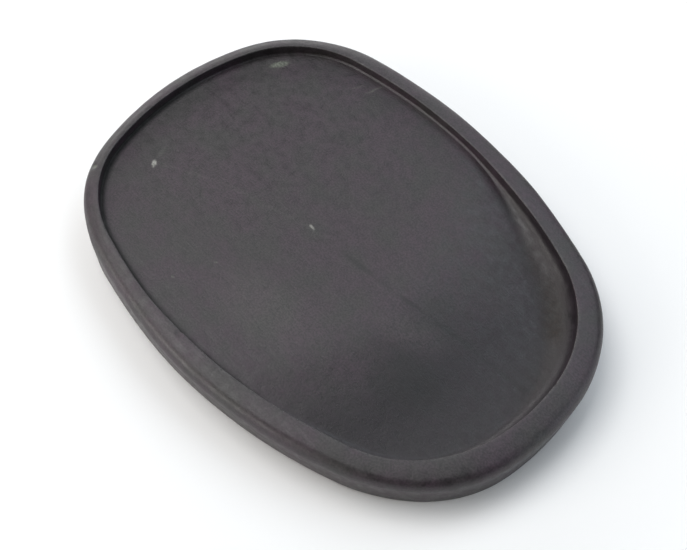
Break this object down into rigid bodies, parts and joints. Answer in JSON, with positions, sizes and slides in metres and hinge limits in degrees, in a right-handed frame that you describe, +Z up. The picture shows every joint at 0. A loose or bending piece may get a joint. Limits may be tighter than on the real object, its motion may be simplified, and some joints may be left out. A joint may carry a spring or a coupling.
{
  "type": "inkstone",
  "caption": "Oval stone slab with a thin raised rim, a flat grinding face and a sloping well at one end, for grinding ink stick with water.",
  "frame": {"origin": "centre of the flat underside", "axes": "+Z up, out of the recess; +X along the length, towards the well"},
  "size_m": [0.1498, 0.1092, 0.0145],
  "materials": {
    "dark_stone": "fine-grained dark grey stone, ground smooth to a matt satin"
  },
  "bodies": {
    "root": {"inkstone_body": "dark_stone"}
  },
  "joints": []
}
